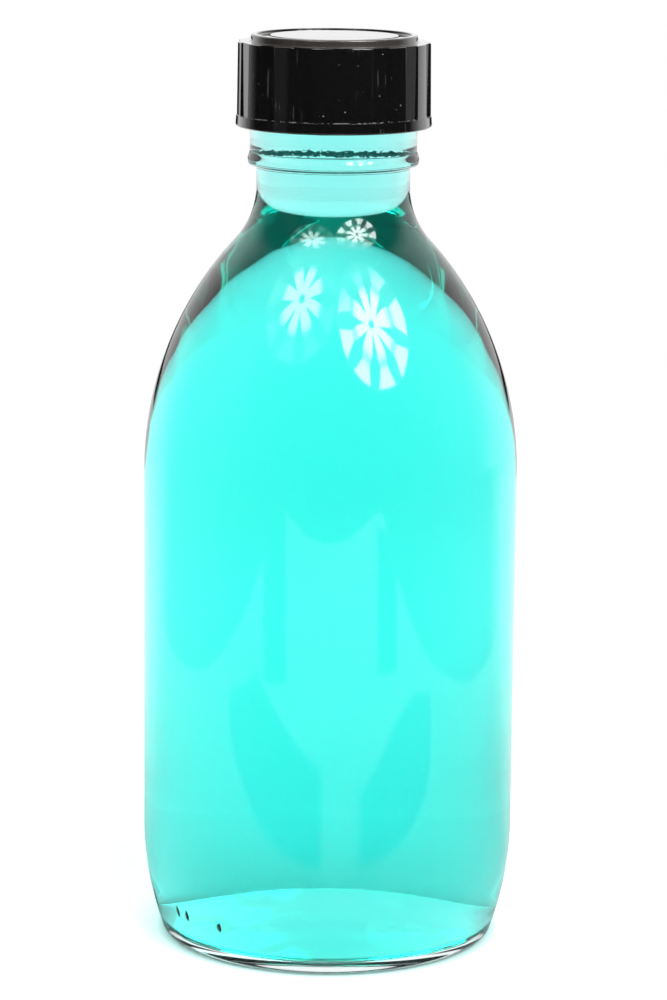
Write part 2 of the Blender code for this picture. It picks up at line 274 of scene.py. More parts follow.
# Studio room: a white sweep all round below a dark ceiling, and for the gloss also dark in front.
# Angles are taken from straight in front, and heights are those of a direction of length 1.
AMBIENT = 0.12
DARK_ROOM = 0.02
SWEEP_TOP = (0.78, 0.9)
SWEEP_RIGHT = (math.radians(97.0), math.radians(128.0))
SWEEP_LEFT = (math.radians(103.0), math.radians(140.0))
SWEEP_FLOOR = (math.radians(106.0), math.radians(130.0))
EDGE_DARK = (math.radians(148.0), math.radians(158.0))
EDGE_DARK_HEIGHTS = ((-0.102, -0.099), (-0.06, -0.04))
SIDE_GLOW = math.radians(-66.0)
SIDE_GLOW_WIDTH = (math.radians(6.0), math.radians(12.0))
SIDE_GLOW_STRENGTH = 0.08

# Painted reflection on the floor between the bottle and the camera, outside the view, seen only by
# gloss: a white sheet with two dark card shapes and two dark stand-leg shapes on it. Corners are in
# millimetres.
PAINTED_REFLECTION_SHEET = ((-203, -340), (193, -340), (193, 203), (-203, 203))
PAINTED_REFLECTION_DARK_SHAPES = (
    ((-166, -101), (-140, -88), (-5, -84), (-9, -147), (-100, -160), (-143, -161)),
    ((24, -82), (52, -76), (90, -69), (125, -71), (168, -94), (153, -124), (110, -138), (39, -125)),
    ((102, -192), (137, -167), (223, -273), (165, -314)),
    ((-126, -164), (-86, -190), (-170, -348), (-244, -298)),
)
SHAPE_EDGE = 0.004

# Umbrella lamps. The star's rays and the patches at the rim are in shares of the umbrella's radius.
UMBRELLA_SIZE = 1.0
UMBRELLA_DISTANCE = 1.15
UMBRELLA_RIBS = 8
UMBRELLA_CLOTH = 0.7
UMBRELLA_RAYS = 22.0
UMBRELLA_RAYS_REACH = ((0.04, 0.1), (0.36, 0.6))
UMBRELLA_RAYS_NARROWING = 2.3
UMBRELLA_RAYS_EDGE = (-1.55, -1.2)
UMBRELLA_RIM = 18.0
UMBRELLA_RIM_REACH = ((0.5, 0.68), (0.9, 0.97))
UMBRELLA_RIM_WIDENING = 2.4
UMBRELLA_RIM_EDGE = (1.45, 2.0)
UMBRELLA_RIM_HEIGHTS = (0.95, 0.0)
UMBRELLA_AIM = 0.09
KEY_ANGLES = (math.radians(40.0), math.radians(47.0))
KEY_POWER = 2.0
KEY_RIM_SHARE = 1.0
FILL_ANGLES = (math.radians(-36.0), math.radians(56.0))
FILL_POWER = 1.2
FILL_RIM_SHARE = 0.1

# Camera
CAMERA_DISTANCE = 0.551
CAMERA_HEIGHT = 0.18
CAMERA_SIDE = 0.0005
CAMERA_PITCH = 0.201
CAMERA_ROLL = math.radians(0.54)
CAMERA_LENS = 132.07
CAMERA_SENSOR = 36.0
CAMERA_RANGE = (0.01, 50.0)

LIGHT_BOUNCES = 21
GLOSSY_BOUNCES = 12
WHITE = (1.0, 1.0, 1.0, 1.0)
BLACK = (0.0, 0.0, 0.0, 1.0)


def arc(centre, radius, start, end, step=ARC_STEP):
    """Points on a circle from one angle to another, in degrees, both ends included."""
    count = max(2, math.ceil(abs(end - start) / step))
    angles = [math.radians(start + (end - start) * i / count) for i in range(count + 1)]
    return [(centre[0] + radius * math.cos(a), centre[1] + radius * math.sin(a)) for a in angles]


def line(start, end, step):
    """Points along a straight line, both ends left out."""
    count = max(1, math.ceil(math.dist(start, end) / step))
    return [
        tuple(a + (b - a) * i / count for a, b in zip(start, end))
        for i in range(1, count)
    ]


def rounded(corners, radius):
    """A line through the corners, with each inner corner rounded off."""
    points = [corners[0]]
    for before, corner, after in zip(corners, corners[1:], corners[2:]):
        b, c, a = (Vector(p) for p in (before, corner, after))
        back, ahead = b - c, a - c
        trim = min(radius, 0.4 * back.length, 0.4 * ahead.length)
        start, end = c + back.normalized() * trim, c + ahead.normalized() * trim
        for i in range(CORNER_STEPS + 1):
            t = i / CORNER_STEPS
            points.append(tuple((1 - t) ** 2 * start + 2 * t * (1 - t) * c + t * t * end))
    return points + [corners[-1]]


def smooth(value):
    """Eases values from 0 to 1, held at both ends."""
    t = np.clip(value, 0.0, 1.0)
    return t * t * (3 - 2 * t)


def revolve(name, outline, angles, shift=None):
    """A closed surface turned about +Z from an outline that starts and ends on the axis.

    shift takes the rings' radius, height and angle as arrays and returns the new radius and height.
    """
    outline = np.array(outline)
    rings, columns = len(outline) - 2, len(angles)
    radius = np.repeat(outline[1:-1, :1], columns, axis=1)
    height = np.repeat(outline[1:-1, 1:], columns, axis=1)
    turn = np.repeat(np.array(angles)[None, :], rings, axis=0)
    if shift is not None:
        radius, height = shift(radius, height, turn)
    points = np.stack((radius * np.cos(turn), radius * np.sin(turn), height), axis=2).reshape(-1, 3)
    ends = np.array([(0.0, 0.0, outline[0, 1]), (0.0, 0.0, outline[-1, 1])])
    vertices = np.vstack((points, ends))
    index = np.arange(rings * columns).reshape(rings, columns)
    ahead = np.roll(index, -1, axis=1)
    quads = np.stack((index[:-1], index[1:], ahead[1:], ahead[:-1]), axis=2).reshape(-1, 4)
    first, last = rings * columns, rings * columns + 1
    faces = quads.tolist()
    faces += [(first, a, b) for a, b in zip(index[0].tolist(), ahead[0].tolist())]
    faces += [(a, last, b) for a, b in zip(index[-1].tolist(), ahead[-1].tolist())]
    mesh = bpy.data.meshes.new(name)
    mesh.from_pydata(vertices.tolist(), [], faces)
    mesh.shade_smooth()
    piece = bpy.data.objects.new(name, mesh)
    bpy.context.scene.collection.objects.link(piece)
    return piece


def paint_second(piece, columns, quads, start_fan, end_fan):
    """Gives the second material to a slice of a turned piece's quads, and to its end fans."""
    polygons = piece.data.polygons
    slots = np.zeros(len(polygons), np.int32)
    slots[:-2 * columns][quads] = 1
    slots[-2 * columns:-columns] = start_fan
    slots[-columns:] = end_fan
    polygons.foreach_set("material_index", slots)


def even_turn(count):
    """Angles evenly round a full turn."""
    return [2 * math.pi * i / count for i in range(count)]


def shoulder(neck_radius, wide_radius, shoulder_radius, fillet_radius):
    """Neck fillet and shoulder as two arcs that meet on one tangent."""
    shoulder_centre = (wide_radius - shoulder_radius, BODY_TOP)
    across = neck_radius + fillet_radius - shoulder_centre[0]
    reach = shoulder_radius + fillet_radius
    rise = math.sqrt(reach**2 - across**2)
    fillet_centre = (neck_radius + fillet_radius, BODY_TOP + rise)
    lean = math.degrees(math.asin(rise / reach))
    fillet = arc(fillet_centre, fillet_radius, 180.0, 180.0 + lean)
    dome = arc(shoulder_centre, shoulder_radius, lean, 0.0, step=1.0)
    return fillet + dome[1:]


def bearing_radius():
    """Radius at which the heel's edge comes down onto the flat bearing ring, and its lean."""
    reach = HEEL_RADIUS - HEEL_EDGE_RADIUS
    lean = math.asin((HEEL_HEIGHT - HEEL_EDGE_RADIUS) / reach)
    return BODY_RADIUS - HEEL_RADIUS + reach * math.cos(lean), math.degrees(lean)


def push_up_radius():
    """Radius of the dome under the base, tangent to the bearing ring's inner edge."""
    edge_centre = bearing_radius()[0] - BEARING_WIDTH
    drop = BEARING_EDGE_RADIUS - PUSH_UP
    return (edge_centre**2 + drop**2 - BEARING_EDGE_RADIUS**2) / (2 * PUSH_UP)


def bead_bottom():
    """Height of the bead's underside."""
    return LIP_HEIGHT - FINISH_HEIGHT


def finish_outline():
    """Outside of the finish: rounded lip, wall that carries the thread, and a low bead."""
    wall = BORE_RADIUS + FINISH_WALL
    bead = wall + BEAD_PROUD
    bottom = bead_bottom()
    bead_top = bottom + BEAD_HEIGHT
    lower = BEAD_LOWER_EDGE_RADIUS
    under = BEAD_UNDER_RADIUS
    neck = BORE_RADIUS + NECK_WALL
    lip = arc((wall - LIP_RADIUS, LIP_HEIGHT - LIP_RADIUS), LIP_RADIUS, 90.0, 0.0, step=10.0)
    swell = []
    for i in range(BEAD_SWELL_STEPS + 1):
        height = bead_top + (bottom + lower - bead_top) * i / BEAD_SWELL_STEPS
        rise = float(smooth((bead_top - height) / BEAD_SWELL)) * BEAD_PROUD
        swell.append((wall + rise, height))
    edge = arc((bead - lower, bottom + lower), lower, 0.0, -90.0, step=10.0)
    hollow = arc((neck + under, bottom - under), under, 90.0, 180.0, step=10.0)
    points = lip + line(lip[-1], swell[0], THREAD_ROW) + swell + edge[1:]
    return points + line(edge[-1], hollow[0], EDGE_ROW) + hollow


def base_outline():
    """Outside of the base: heel, bearing edge, flat ring and the dome pushed up inside it."""
    ring_outside, lean = bearing_radius()
    ring_inside = ring_outside - BEARING_WIDTH
    dome_radius = push_up_radius()
    dome_centre = (0.0, PUSH_UP - dome_radius)
    slope = math.degrees(math.atan2(BEARING_EDGE_RADIUS - dome_centre[1], ring_inside))
    points = arc((BODY_RADIUS - HEEL_RADIUS, HEEL_HEIGHT), HEEL_RADIUS, 0.0, -lean, step=0.6)
    points += arc((ring_outside, HEEL_EDGE_RADIUS), HEEL_EDGE_RADIUS, -lean, -90.0, step=8.0)[1:]
    edge_centre = (ring_inside, BEARING_EDGE_RADIUS)
    points += arc(edge_centre, BEARING_EDGE_RADIUS, -90.0, slope - 180.0, step=1.5)
    points += arc(dome_centre, dome_radius, slope, 90.0, step=0.7)[1:]
    points[-1] = (0.0, PUSH_UP)
    return points


def circles_meet(centre_a, radius_a, centre_b, radius_b):
    """The crossing of two circles that lies further from the axis."""
    a, b = Vector(centre_a), Vector(centre_b)
    across = b - a
    along = (radius_a**2 - radius_b**2 + across.length_squared) / (2 * across.length)
    aside = math.sqrt(radius_a**2 - along**2)
    direction = across.normalized()
    middle = a + direction * along
    ends = [middle + side * aside * Vector((-direction.y, direction.x)) for side in (-1, 1)]
    return max(ends, key=lambda end: end.x)


def inside_outline(gap):
    """Inside of the bottle from the neck's lower end to the floor's centre, drawn in by a gap."""
    wall = BODY_WALL + gap
    corner_radius = FLOOR_CORNER_RADIUS - gap
    floor_apex = PUSH_UP + BASE_THICKNESS + gap
    floor_radius = FLOOR_RADIUS + gap
    floor_centre = (0.0, floor_apex - floor_radius)
    heel_centre = (BODY_RADIUS - HEEL_RADIUS, HEEL_HEIGHT)
    points = shoulder(
        BORE_RADIUS - gap,
        BODY_RADIUS - wall,
        SHOULDER_RADIUS - wall,
        NECK_FILLET_RADIUS + NECK_WALL + gap,
    )
    corner = circles_meet(
        heel_centre, HEEL_RADIUS - wall - corner_radius, floor_centre, floor_radius + corner_radius
    )
    lean = math.degrees(math.atan2(corner.y - heel_centre[1], corner.x - heel_centre[0]))
    slope = math.degrees(math.atan2(corner.y - floor_centre[1], corner.x))
    heel = arc(heel_centre, HEEL_RADIUS - wall, 0.0, lean, step=0.8)
    points += line(points[-1], heel[0], WALL_ROW) + heel
    points += arc(corner, corner_radius, lean, slope - 180.0, step=6.0)[1:]
    points += arc(floor_centre, floor_radius, slope, 90.0, step=0.8)[1:]
    points[-1] = (0.0, floor_apex)
    return points


def thread_rise(turn, height, low, turns, start_angle, widths):
    """How far a thread stands out at each angle and height, with a soft run-out at both ends."""
    root_width, tip_width = widths
    most = turns * 2 * math.pi
    rise = np.zeros_like(height)
    first = np.mod(turn - start_angle, 2 * math.pi)
    for lap in range(math.ceil(turns)):
        turned = first + lap * 2 * math.pi
        from_end = np.minimum(turned, most - turned)
        middle = low + THREAD_PITCH * turned / (2 * math.pi)
        flank = (root_width / 2 - np.abs(height - middle)) / ((root_width - tip_width) / 2)
        rise = np.maximum(rise, smooth(flank) * smooth(from_end / THREAD_RUN_OUT))
    return rise * THREAD_HEIGHT


def bottle_thread_low():
    """Height of the bottle thread's middle at its lower end."""
    return LIP_HEIGHT - THREAD_TOP_DROP - THREAD_PITCH * THREAD_TURNS


def glass_shift(radius, height, turn):
    """Raises the thread on the finish."""
    finish = (radius > BORE_RADIUS + FINISH_WALL - 1e-6) & (height > bead_bottom() + BEAD_HEIGHT)
    widths = (THREAD_ROOT_WIDTH, THREAD_TIP_WIDTH)
    rise = thread_rise(turn, height, bottle_thread_low(), THREAD_TURNS, THREAD_START_ANGLE, widths)
    return radius + np.where(finish, rise, 0.0), height


def make_glass():
    """The bottle as one closed mesh. The inside below the liquid's edge has the wetted material."""
    neck_radius = BORE_RADIUS + NECK_WALL
    outside = finish_outline()
    fillet_and_dome = shoulder(neck_radius, BODY_RADIUS, SHOULDER_RADIUS, NECK_FILLET_RADIUS)
    outside += line(outside[-1], fillet_and_dome[0], NECK_ROW) + fillet_and_dome
    base = base_outline()
    outside += line(outside[-1], base[0], WALL_ROW) + base
    wet_inside = inside_outline(0.0)[::-1]
    wet_edge = (BORE_RADIUS, liquid_level() + MENISCUS_RISE)
    wet_inside += line(wet_inside[-1], wet_edge, NECK_ROW) + [wet_edge]
    lip_centre = (BORE_RADIUS + LIP_RADIUS, LIP_HEIGHT - LIP_RADIUS)
    lip = arc(lip_centre, LIP_RADIUS, 180.0, 90.0, step=10.0)
    dry_inside = line(wet_edge, lip[0], LIP_ROW) + lip
    outline = wet_inside + dry_inside + outside[1:]
    glass = revolve("bottle_glass", outline, even_turn(BOTTLE_COLUMNS), glass_shift)
    glass.data.materials.append(glass_material("bottle_glass_dry", GLASS_INDEX))
    glass.data.materials.append(glass_material("bottle_glass_wetted", WETTED_INDEX))
    wet_quads = slice(0, (len(wet_inside) - 2) * BOTTLE_COLUMNS)
    paint_second(glass, BOTTLE_COLUMNS, wet_quads, True, False)
    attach(glass, "bottle")
    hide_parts("glass_bottle")


def liquid_level():
    """Height of the liquid away from the glass."""
    return LIP_HEIGHT - HEADSPACE


def meniscus(radius):
    """How far the liquid stands above its level at a distance from the axis."""
    reach = (BORE_RADIUS - radius) / MENISCUS_REACH
    return MENISCUS_RISE * math.exp(-reach)


def surface_outline(lift):
    """The liquid's curved top from the axis out to the bore."""
    edge = BORE_RADIUS + GLASS_OVERLAP
    radii = [edge * (1 - (1 - i / SURFACE_STEPS) ** 2) for i in range(SURFACE_STEPS + 1)]
    return [(r, liquid_level() + lift + meniscus(min(r, BORE_RADIUS))) for r in radii]


def make_syrup():
    """The liquid, which reaches a little into the glass, and its open top as a thin skin."""
    top = surface_outline(-SURFACE_DEPTH * 1.5)
    outline = top + inside_outline(-GLASS_OVERLAP)
    syrup = revolve("syrup_fill", outline, even_turn(BOTTLE_COLUMNS))
    syrup.data.materials.append(syrup_material())
    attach(syrup, "bottle")
    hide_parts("syrup")
    top = surface_outline(0.0)
    under = surface_outline(-SURFACE_DEPTH)[::-1]
    skin = revolve("syrup_surface", top + under, even_turn(BOTTLE_COLUMNS))
    skin.data.materials.append(surface_material())
    skin.data.materials.append(clear_material("syrup_inside", 1.0))
    under_quads = slice((len(top) - 2) * BOTTLE_COLUMNS, None)
    paint_second(skin, BOTTLE_COLUMNS, under_quads, False, True)
    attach(skin, "bottle")


def cap_bore():
    """Inside radius of the skirt, between the threads."""
    return BORE_RADIUS + FINISH_WALL + THREAD_HEIGHT + FIT_GAP


def rib_radius():
    """Radius over the ribs at the skirt's top."""
    return cap_bore() + SKIRT_WALL + RIB_HEIGHT


def cap_columns():
    """Angles of the cap's columns, close together where the ribs' edges are."""
    pitch = 2 * math.pi / RIB_COUNT
    half_flat = pitch * (1 - RIB_SHARE) / 2
    flat = [half_flat * t for t in FLAT_COLUMNS]
    near_edge = [half_flat + RIB_EDGE * t for t in RIB_EDGE_COLUMNS]
    rib = [half_flat + (pitch / 2 - half_flat) * t for t in RIB_COLUMNS]
    half = flat + near_edge + rib
    offsets = [-a for a in half[:0:-1]] + half
    return [RIB_TURN + (i + 0.5) * pitch + a for i in range(RIB_COUNT) for a in offsets]


def flat_shift(radius, height, turn):
    """Cuts the flats between the ribs out of the skirt's outside."""
    pitch = 2 * math.pi / RIB_COUNT
    half_flat = pitch * (1 - RIB_SHARE) / 2
    aside = np.mod(turn - RIB_TURN, pitch) - pitch / 2
    share = smooth(0.5 - (np.abs(aside) - half_flat) / RIB_EDGE)
    flat = (cap_bore() + SKIRT_WALL) / np.cos(aside)
    band_top = cap_low.z + BAND_HEIGHT
    above_band = height > band_top + LEDGE_ROW / 2
    cut = np.minimum(radius, flat)
    return radius + (cut - radius) * share * above_band


def cap_shift(radius, height, turn):
    """Cuts the flats outside and raises the thread inside."""
    outside = radius > cap_bore() + 0.5 * SKIRT_WALL
    inside = np.abs(radius - cap_bore()) < 1e-6
    below = bottle_thread_low() - thread_seat() - (cap_low.z + CAP_THREAD_START)
    start = THREAD_START_ANGLE - 2 * math.pi * below / THREAD_PITCH
    widths = (CAP_THREAD_ROOT_WIDTH, CAP_THREAD_TIP_WIDTH)
    rise = thread_rise(turn, height, cap_low.z + CAP_THREAD_START, CAP_THREAD_TURNS, start, widths)
    radius = np.where(outside, flat_shift(radius, height, turn), radius)
    return radius - np.where(inside, rise, 0.0), height


def thread_seat():
    """Distance from the bottle thread's middle down to the cap thread's middle when closed."""
    bottle_half = (THREAD_ROOT_WIDTH + THREAD_TIP_WIDTH) / 4
    cap_half = (CAP_THREAD_ROOT_WIDTH + CAP_THREAD_TIP_WIDTH) / 4
    return bottle_half + cap_half + FIT_GAP * 1.5


def cap_outline():
    """Outline of the cap from the panel's centre over the outside and up the inside."""
    ring_top = cap_high.z
    groove_floor = ring_top - RING_RISE
    panel_top = ring_top - PANEL_DROP
    skirt_top = ring_top - RING_STEP
    underside = groove_floor - PANEL_THICKNESS
    bottom = cap_low.z
    ring_outside = RING_OUTER_RADIUS
    ring_inside = ring_outside - RING_WIDTH
    top_radius = rib_radius()
    low_radius = top_radius + SKIRT_DRAFT
    band_top = bottom + BAND_HEIGHT
    band_radius = low_radius + BAND_PROUD
    edge = BAND_EDGE_RADIUS
    edge_centre = (band_radius + BAND_FLARE - edge, bottom + edge)
    soften = RING_RISE / 4
    panel_edge = [(PANEL_RADIUS - soften, panel_top), (PANEL_RADIUS, panel_top)]
    panel_edge = rounded(panel_edge + [(PANEL_RADIUS, panel_top - soften)], soften)
    foot_centre = (PANEL_RADIUS + COVE_RADIUS, groove_floor + COVE_RADIUS)
    panel_foot = arc(foot_centre, COVE_RADIUS, 180.0, 270.0, step=15.0)
    cove_centre = (ring_inside - COVE_RADIUS, groove_floor + COVE_RADIUS)
    cove = arc(cove_centre, COVE_RADIUS, -90.0, 0.0, step=15.0)
    top = [(0.0, panel_top)] + line((0.0, panel_top), panel_edge[0], PANEL_ROW)
    top += panel_edge + panel_foot
    top += line(panel_foot[-1], cove[0], GROOVE_ROW) + cove[:-1]
    crown = arc((ring_outside - RING_EDGE, ring_top - RING_EDGE), RING_EDGE, 90.0, 0.0, step=9.0)
    ring = [cove[-1], (ring_inside, ring_top - soften), (ring_inside + soften, ring_top), crown[0]]
    top += rounded(ring, soften / 2) + crown[1:-1]
    ring = [crown[-1], (ring_outside, skirt_top), (top_radius - RIB_CHAMFER, skirt_top)]
    ring += [(top_radius, skirt_top - RIB_CHAMFER), (low_radius, band_top + LEDGE_ROW)]
    lip = arc(edge_centre, edge, 0.0, -90.0, step=15.0)
    band = [(low_radius, band_top), (band_radius, band_top), lip[0]]
    inner = [lip[-1], (cap_bore() + FIT_GAP, bottom), (cap_bore(), bottom + FIT_GAP)]
    wall_low, wall_high = (cap_bore(), bottom + FIT_GAP), (cap_bore(), underside)
    points = top + rounded(ring, CORNER_ROUND) + rounded(band, CORNER_ROUND) + lip[1:-1]
    points += rounded(inner, CORNER_ROUND)
    points += line(wall_low, wall_high, THREAD_ROW) + [wall_high]
    points += line(wall_high, (0.0, underside), PANEL_ROW) + [(0.0, underside)]
    return points


def make_cap():
    """The cap as one closed mesh, with sharp edges kept crisp."""
    cap = revolve("cap_shell", cap_outline(), cap_columns(), cap_shift)
    cap.data.materials.append(plastic_material())
    cap.data.set_sharp_from_angle(angle=SHARP_ANGLE)
    even = cap.modifiers.new("even_normals", "WEIGHTED_NORMAL")
    even.keep_sharp = True
    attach(cap, "cap")
    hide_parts("screw_cap")


def disc_outline(low, high, edge_radius):
    """A flat disc that fills a box, with its edges rounded."""
    radius = high.x
    top = arc((radius - edge_radius, high.z - edge_radius), edge_radius, 90.0, 0.0, step=15.0)
    bottom = arc((radius - edge_radius, low.z + edge_radius), edge_radius, 0.0, -90.0, step=15.0)
    upper = [(0.0, high.z)] + line((0.0, high.z), top[0], LINER_ROW) + top
    lower = bottom + line(bottom[-1], (0.0, low.z), LINER_ROW) + [(0.0, low.z)]
    return upper + lower


def make_liner():
    """The pulp board and the film under it."""
    outline = disc_outline(board_low, board_high, BOARD_EDGE)
    board = revolve("liner_pulp_board", outline, even_turn(LINER_COLUMNS))
    board.data.materials.append(board_material())
    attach(board, "liner")
    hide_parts("liner_board")
    outline = disc_outline(facing_low, facing_high, FILM_EDGE)
    facing = revolve("liner_film_disc", outline, even_turn(LINER_COLUMNS))
    facing.data.materials.append(film_material())
    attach(facing, "liner")
    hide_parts("liner_facing")


def new_material(name):
    """A material with its node tree and its shader."""
    material = bpy.data.materials.new(name)
    material.use_nodes = True
    return material, material.node_tree, material.node_tree.nodes["Principled BSDF"]


def clear_material(name, index):
    """Clear and colourless, with a refractive index."""
    material, _, shader = new_material(name)
    shader.inputs["Base Color"].default_value = WHITE
    shader.inputs["Roughness"].default_value = 0.0
    shader.inputs["IOR"].default_value = index
    shader.inputs["Transmission Weight"].default_value = 1.0
    return material


def mould_marks_and_painted_shade(tree, place):
    """Height of the marks on the outside, and how dark they are: bead streak, seams, heel dots. The
    streak's darkness is painted shade.
    """
    axes = split(tree, place)
    wander = noise(tree, place, STREAK_DRIFT_LENGTH, 3.0)
    drift = maths(tree, "MULTIPLY_ADD", wander, STREAK_DRIFT, -0.5 * STREAK_DRIFT)
    above = maths(tree, "SUBTRACT", axes["Z"], bead_bottom() + STREAK_OVER_BEAD)
    off = maths(tree, "ABSOLUTE", maths(tree, "SUBTRACT", above, drift))
    on_streak = eased(tree, off, STREAK_WIDTH / 2, STREAK_CORE / 2)
    streak = maths(tree, "MULTIPLY", eased(tree, axes["Y"], *STREAK_SIDE), on_streak)
    grain = noise(tree, place, STREAK_GRAIN, 1.0)
    height = maths(tree, "MULTIPLY", maths(tree, "MULTIPLY", grain, streak), STREAK_DEPTH)
    # Painted shade: the streak's dark colour stands in for the dark that the back of the bead's
    # underside refracts
    dark = maths(tree, "MULTIPLY", streak, eased(tree, grain, *STREAK_GAPS))
    across = split(tree, stretched(tree, place, (-math.sin(SEAM_ANGLE), math.cos(SEAM_ANGLE), 0.0)))
    aside = maths(tree, "ABSOLUTE", maths(tree, "ADD", across["X"], across["Y"]))
    seam = eased(tree, aside, SEAM_WIDTH, 0.0)
    seam = maths(tree, "MULTIPLY", seam, band(tree, axes["Z"], *SEAM_HEIGHTS))
    height = maths(tree, "MULTIPLY_ADD", seam, SEAM_RISE, height)
    spots = [(angle, middle, HEEL_DOT_SIZE) for angle, middle in HEEL_DOTS]
    spots.append((*HEEL_DASH, HEEL_DASH_SIZE))
    for angle, middle, (wide, tall) in spots:
        turn = math.radians(angle)
        radius = BODY_RADIUS - HEEL_RADIUS + math.sqrt(HEEL_RADIUS**2 - (HEEL_HEIGHT - middle) ** 2)
        away = tree.nodes.new("ShaderNodeVectorMath")
        away.operation = "SUBTRACT"
        tree.links.new(place, away.inputs[0])
        away.inputs[1].default_value = (radius * math.cos(turn), radius * math.sin(turn), middle)
        reach = length(tree, stretched(tree, away.outputs[0], (1 / wide, 1 / wide, 1 / tall)))
        spot = eased(tree, reach, *HEEL_DOT_SLOPE)
        height = maths(tree, "MULTIPLY_ADD", spot, HEEL_DOT_RISE, height)
        dark = maths(tree, "MAXIMUM", dark, eased(tree, reach, *HEEL_DOT_DARK))
    return height, dark


def glass_material(name, index):
    """Moulded glass, slightly wavy. The dry side also has faint smears and the outside's marks, with
    painted shade along the bead's streak.
    """
    material = clear_material(name, index)
    tree = material.node_tree
    shader = tree.nodes["Principled BSDF"]
    shader.inputs["Base Color"].default_value = GLASS_COLOUR
    place = object_place(tree)
    axes = split(tree, place)
    on_shoulder = band(tree, axes["Z"], *SHOULDER_WAVE_REACH)
    wave_height = mixed(tree, on_shoulder, GLASS_WAVE_HEIGHT, SHOULDER_WAVE_HEIGHT)
    height = maths(tree, "MULTIPLY", noise(tree, place, GLASS_WAVE_LENGTH, 1.0), wave_height)
    if index == GLASS_INDEX:
        outside = eased(tree, from_axis(tree, axes), *OUTSIDE_RADIUS)
        marks, dark = mould_marks_and_painted_shade(tree, place)
        height = maths(tree, "MULTIPLY_ADD", marks, outside, height)
        # Darkens the glass at the marks: painted shade along the streak, and the heel's dots
        colour = tinted(tree, maths(tree, "MULTIPLY", dark, outside), GLASS_COLOUR, STREAK_SHADE_AND_DOT_COLOUR)
        tree.links.new(colour, shader.inputs["Base Color"])
        smear = noise(tree, stretched(tree, place, SMEAR_STRETCH), SMEAR_SIZE, 2.0)
        smear = maths(tree, "MULTIPLY", eased(tree, smear, *SMEAR_SHARE), SMEAR_ROUGHNESS)
        tree.links.new(smear, shader.inputs["Roughness"])
    emboss(tree, shader, height)
    return material


def surface_material():
    """The liquid's open top, with a faint ripple."""
    material = clear_material("syrup_surface", SYRUP_INDEX)
    tree = material.node_tree
    ripple = noise(tree, object_place(tree), SURFACE_RIPPLE_LENGTH, 1.0)
    ripple = maths(tree, "MULTIPLY", ripple, SURFACE_RIPPLE)
    emboss(tree, tree.nodes["Principled BSDF"], ripple)
    return material


def syrup_material():
    """The liquid's colour, which deepens with the way that light goes through it."""
    material = clear_material("turquoise_liquid", 1.0)
    tree = material.node_tree
    absorption = tree.nodes.new("ShaderNodeVolumeAbsorption")
    absorption.inputs["Color"].default_value = SYRUP_COLOUR
    absorption.inputs["Density"].default_value = SYRUP_DENSITY
    tree.links.new(absorption.outputs["Volume"], tree.nodes["Material Output"].inputs["Volume"])
    return material


def plastic_material():
    """Polished black plastic with upright scratches and dust specks, and a painted highlight line on
    the band's ledge. The ring's outer side is matt.
    """
    material, tree, shader = new_material("cap_black_plastic")
    shader.inputs["Coat Weight"].default_value = 1.0
    shader.inputs["Coat Roughness"].default_value = COAT_ROUGHNESS
    place = object_place(tree)
    axes = split(tree, place)
    radius = from_axis(tree, axes)
    skirt_top = cap_high.z - RING_STEP
    edges = [RING_OUTER_RADIUS + reach for reach in RING_MATT_REACH]
    above_skirt = eased(tree, axes["Z"], skirt_top - 0.0001, skirt_top)
    on_ring = maths(tree, "MULTIPLY", band(tree, radius, edges[:2], edges[2:]), above_skirt)
    lines = noise(tree, stretched(tree, place, SCRATCH_STRETCH), SCRATCH_WIDTH, 1.0)
    patches = eased(tree, noise(tree, place, SCRATCH_PATCH, 1.0), *SCRATCH_PATCH_SHARE)
    scratches = maths(tree, "MULTIPLY", eased(tree, lines, *SCRATCH_SHARE), patches)
    # Painted highlight: a light, rough line along the band's ledge, mixed in with the dust specks
    edges = [cap_low.z + BAND_HEIGHT + reach for reach in PAINTED_LEDGE_HIGHLIGHT_REACH]
    on_ledge = band(tree, axes["Z"], edges[:2], edges[2:])
    painted_ledge_highlight = eased(tree, noise(tree, place, PAINTED_LEDGE_HIGHLIGHT_SIZE, 3.0), *PAINTED_LEDGE_HIGHLIGHT_SHARE)
    painted_ledge_highlight = maths(tree, "MULTIPLY", on_ledge, painted_ledge_highlight)
    dust_and_highlight = maths(tree, "MULTIPLY", painted_ledge_highlight, PAINTED_LEDGE_HIGHLIGHT_STRENGTH)
    for spacing, size, share in DUST_SPECKS:
        dust_and_highlight = maths(tree, "MAXIMUM", dust_and_highlight, specks(tree, place, spacing, size, share))
    grain = noise(tree, place, PLASTIC_GRAIN, 2.0)
    colour = tinted(tree, on_ring, PLASTIC_COLOUR, RING_COLOUR)
    for mark, strength, mark_colour in (
        (scratches, SCRATCH_STRENGTH, SCRATCH_COLOUR),
        (dust_and_highlight, DUST_AND_HIGHLIGHT_STRENGTH, DUST_AND_HIGHLIGHT_COLOUR),
    ):
        colour = tinted(tree, maths(tree, "MULTIPLY", mark, strength), colour, mark_colour)
    tree.links.new(colour, shader.inputs["Base Color"])
    rough = mixed(tree, on_ring, mixed(tree, grain, *PLASTIC_ROUGHNESS), RING_ROUGHNESS)
    rough = maths(tree, "MULTIPLY_ADD", scratches, SCRATCH_ROUGHNESS, rough)
    rough = maths(tree, "MAXIMUM", rough, maths(tree, "MULTIPLY", dust_and_highlight, DUST_AND_HIGHLIGHT_ROUGHNESS))
    tree.links.new(rough, shader.inputs["Roughness"])
    waves = noise(tree, place, PLASTIC_WAVE_LENGTH, 1.0)
    height = maths(tree, "MULTIPLY", waves, PLASTIC_WAVE_HEIGHT)
    height = maths(tree, "MULTIPLY_ADD", scratches, -SCRATCH_DEPTH, height)
    emboss(tree, shader, maths(tree, "MULTIPLY_ADD", dust_and_highlight, DUST_AND_HIGHLIGHT_HEIGHT, height))
    return material


